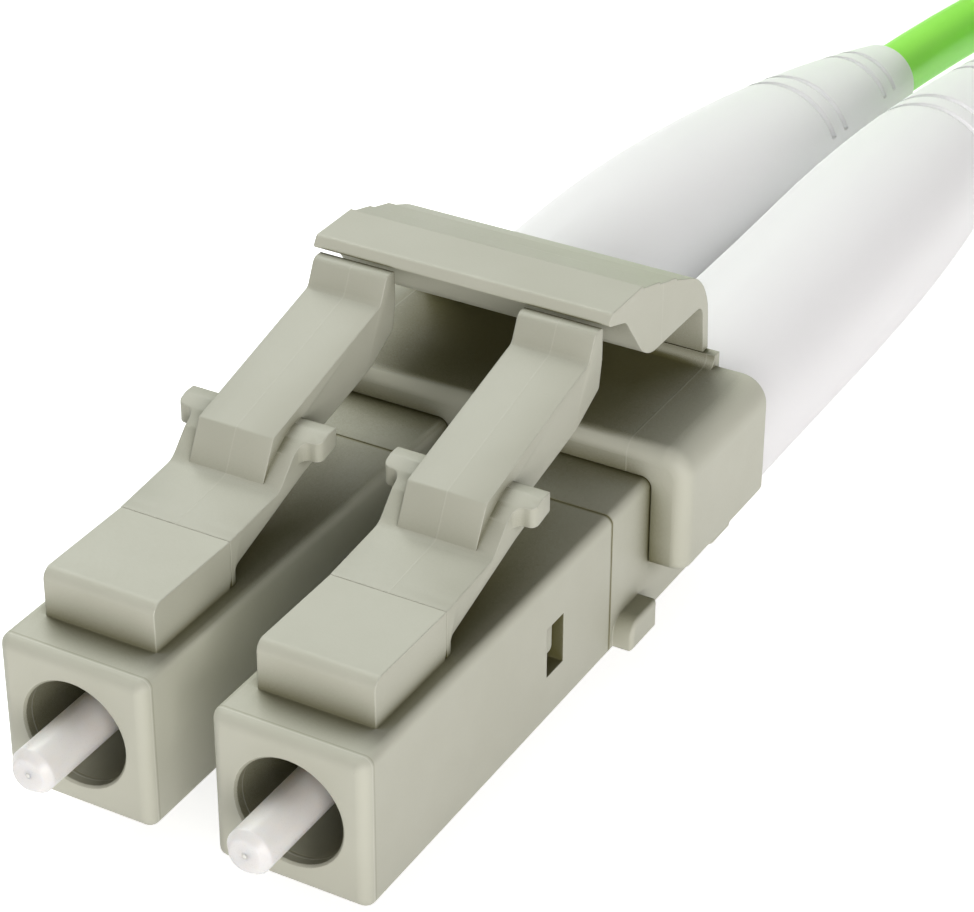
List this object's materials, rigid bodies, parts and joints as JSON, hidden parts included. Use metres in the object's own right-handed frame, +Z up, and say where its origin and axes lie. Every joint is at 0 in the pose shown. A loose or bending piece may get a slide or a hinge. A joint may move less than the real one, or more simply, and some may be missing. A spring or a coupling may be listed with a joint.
{
  "type": "lc duplex fibre connector",
  "caption": "Duplex LC fibre connector: square sprung-latch plugs with floating ferrules, joined by a clip with a press trigger, with long boots on a coiled pigtail.",
  "frame": {"origin": "on the surface that the connector lies on, under the middle of the two plugs and their boots; cords and coil left out", "axes": "+X across the plugs, towards the right plug seen from the front; +Y from the ferrule tips back to the cord; +Z up, the latch side"},
  "size_m": [0.0328, 0.0992, 0.0172],
  "materials": {
    "body_plastic": "moulded, fine satin grain, warm light grey",
    "zirconia": "ground and polished white zirconia",
    "holder_metal": "nickel-plated brass",
    "spring_steel": "drawn stainless wire",
    "fibre_buffer": "white tight buffer",
    "aramid_yarn": "yellow strength yarn",
    "sleeve_metal": "nickel-plated crimp sleeve",
    "boot_plastic": "soft white thermoplastic",
    "cord_jacket": "lime green LSZH jacket, satin",
    "tie_strap": "woven black strap"
  },
  "bodies": {
    "connector": {"duplex_clip": "body_plastic", "left_plug_housing": "body_plastic", "left_ferrule_spring": "spring_steel", "left_rear_body": "body_plastic", "left_strength_yarn": "aramid_yarn", "left_crimp_sleeve": "sleeve_metal", "left_boot": "boot_plastic", "left_jacket": "cord_jacket", "left_cord": "cord_jacket", "right_plug_housing": "body_plastic", "right_ferrule_spring": "spring_steel", "right_rear_body": "body_plastic", "right_strength_yarn": "aramid_yarn", "right_crimp_sleeve": "sleeve_metal", "right_boot": "boot_plastic", "right_jacket": "cord_jacket", "right_cord": "cord_jacket", "cord_coil": "cord_jacket", "coil_tie": "tie_strap"},
    "trigger": {"trigger": "body_plastic"},
    "left_latch": {"left_latch": "body_plastic"},
    "left_ferrule": {"left_ferrule": "zirconia", "left_ferrule_holder": "holder_metal", "left_fibre": "fibre_buffer"},
    "right_latch": {"right_latch": "body_plastic"},
    "right_ferrule": {"right_ferrule": "zirconia", "right_ferrule_holder": "holder_metal", "right_fibre": "fibre_buffer"}
  },
  "joints": [
    {"name": "trigger_press", "type": "hinge", "parent": "connector", "child": "trigger", "pos_m": [0, -0.00373, 0.00649], "axis": [1, 0, 0], "range_deg": [0, 12], "stiffness_Nm_per_rad": 0.005},
    {"name": "left_latch_flex", "type": "hinge", "parent": "connector", "child": "left_latch", "pos_m": [-0.00313, -0.01827, 0.00568], "axis": [-1, 0, 0], "range_deg": [0, 12], "stiffness_Nm_per_rad": 0.005},
    {"name": "right_latch_flex", "type": "hinge", "parent": "connector", "child": "right_latch", "pos_m": [0.00313, -0.01827, 0.00568], "axis": [-1, 0, 0], "range_deg": [0, 12], "stiffness_Nm_per_rad": 0.005},
    {"name": "left_ferrule_float", "type": "slide", "parent": "connector", "child": "left_ferrule", "axis": [0, 1, 0], "range_m": [0, 0.001], "stiffness_N_per_m": 1000, "springref_m": -0.004, "deforming": ["left_ferrule_spring"]},
    {"name": "right_ferrule_float", "type": "slide", "parent": "connector", "child": "right_ferrule", "axis": [0, 1, 0], "range_m": [0, 0.001], "stiffness_N_per_m": 1000, "springref_m": -0.004, "deforming": ["right_ferrule_spring"]}
  ],
  "couplings": [
    {"joint": "left_latch_flex", "follows": "trigger_press", "ratio": 0.95},
    {"joint": "right_latch_flex", "follows": "trigger_press", "ratio": 0.95}
  ]
}
